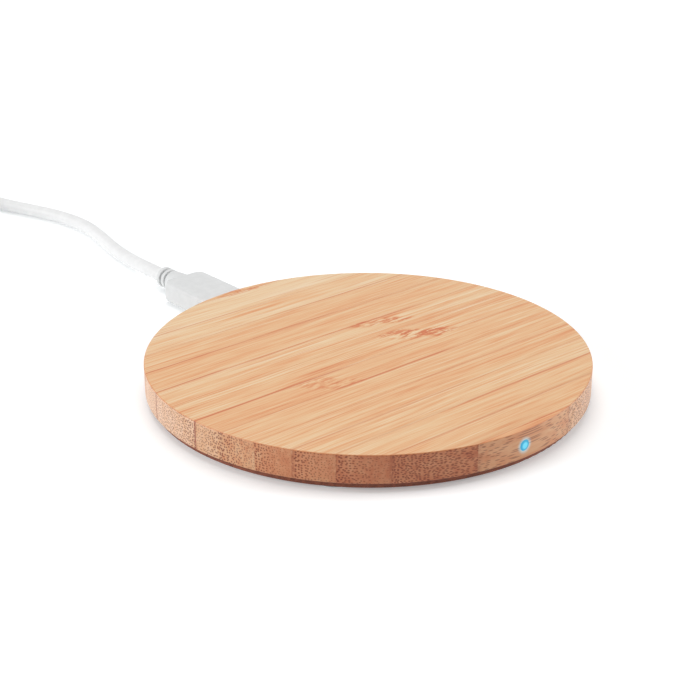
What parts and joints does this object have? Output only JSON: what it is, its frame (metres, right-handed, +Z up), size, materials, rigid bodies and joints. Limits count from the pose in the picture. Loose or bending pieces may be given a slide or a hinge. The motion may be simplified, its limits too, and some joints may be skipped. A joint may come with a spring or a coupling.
{
  "type": "wireless charging pad",
  "caption": "Round laminated bamboo wireless charging pad with a dark base plate, a blue status light in the rim and a white charging cable plugged in behind.",
  "frame": {"origin": "on the ground under the middle of the disc, level with the undersides of the feet", "axes": "+Z up through the charging face, +Y towards the USB port and the plug, -Y towards the status light, X along the bamboo grain"},
  "size_m": [0.109, 0.264, 0.0082],
  "materials": {
    "bamboo": "sanded bamboo slats, thin clear oil",
    "dark_bamboo": "thin steamed dark bamboo ply, satin",
    "foot_rubber": "translucent grey silicone",
    "screw_steel": "zinc plated",
    "foam": "white foam tape",
    "board_green": "glass-fibre laminate, green mask",
    "chip_black": "moulded chip package",
    "capacitor_tan": "ceramic with tinned ends",
    "led_white": "side-looking lamp body",
    "light_pipe_blue": "clear rod, lit blue from behind",
    "connector_steel": "nickel plated",
    "contact_gold": "gold plated",
    "connector_black": "glass-filled nylon",
    "connector_white": "glass-filled nylon",
    "adhesive_film": "transfer tape",
    "copper_litz": "enamelled copper litz",
    "solder": "tin",
    "ferrite": "sintered, matt",
    "cable_white": "soft white moulding, fine matt",
    "cord_white": "smooth white jacket",
    "wire_insulation": "thin insulation",
    "tie_fabric": "hook-and-loop strap"
  },
  "bodies": {
    "pad": {"bamboo_slat_01": "bamboo", "bamboo_slat_02": "bamboo", "bamboo_slat_03": "bamboo", "bamboo_slat_04": "bamboo", "bamboo_slat_05": "bamboo", "bamboo_slat_06": "bamboo", "bamboo_slat_07": "bamboo", "bamboo_slat_08": "bamboo", "bamboo_slat_09": "bamboo", "bamboo_slat_10": "bamboo", "bamboo_slat_11": "bamboo", "bamboo_slat_12": "bamboo", "bamboo_slat_13": "bamboo", "bamboo_slat_14": "bamboo", "base_plate": "dark_bamboo", "base_screws": "screw_steel", "board_foam_pads": "foam", "bridge_chips": "chip_black", "chip_capacitors": "capacitor_tan", "chip_resistors": "chip_black", "circuit_board": "board_green", "coil_adhesive": "adhesive_film", "coil_lead_inner": "copper_litz", "coil_lead_outer": "copper_litz", "coil_solder_joints": "solder", "controller_chip": "chip_black", "ferrite_shield": "ferrite", "input_capacitors": "capacitor_tan", "light_pipe": "light_pipe_blue", "resonance_capacitors": "capacitor_tan", "rubber_foot_1": "foot_rubber", "rubber_foot_2": "foot_rubber", "rubber_foot_3": "foot_rubber", "rubber_foot_4": "foot_rubber", "status_led": "led_white", "thermistor": "capacitor_tan", "transmitter_coil": "copper_litz", "usb_port_contacts": "contact_gold", "usb_port_shell": "connector_steel", "usb_port_tongue": "connector_black"},
    "cable": {"cord_lead": "cord_white", "cord_tail": "cord_white", "cord_tie": "tie_fabric", "cord_wound": "cord_white", "plug_board": "board_green", "plug_contacts": "contact_gold", "plug_insulator": "connector_black", "plug_overmould": "cable_white", "plug_shell": "connector_steel", "plug_strain_relief": "cable_white", "plug_wires": "wire_insulation", "usb_a_board": "board_green", "usb_a_contacts": "contact_gold", "usb_a_insulator": "connector_white", "usb_a_overmould": "cable_white", "usb_a_shell": "connector_steel", "usb_a_strain_relief": "cable_white", "usb_a_wires": "wire_insulation"}
  },
  "joints": [
    {"name": "plug_pull", "type": "slide", "parent": "pad", "child": "cable", "axis": [0, 1, 0], "range_m": [0, 0.012]}
  ]
}
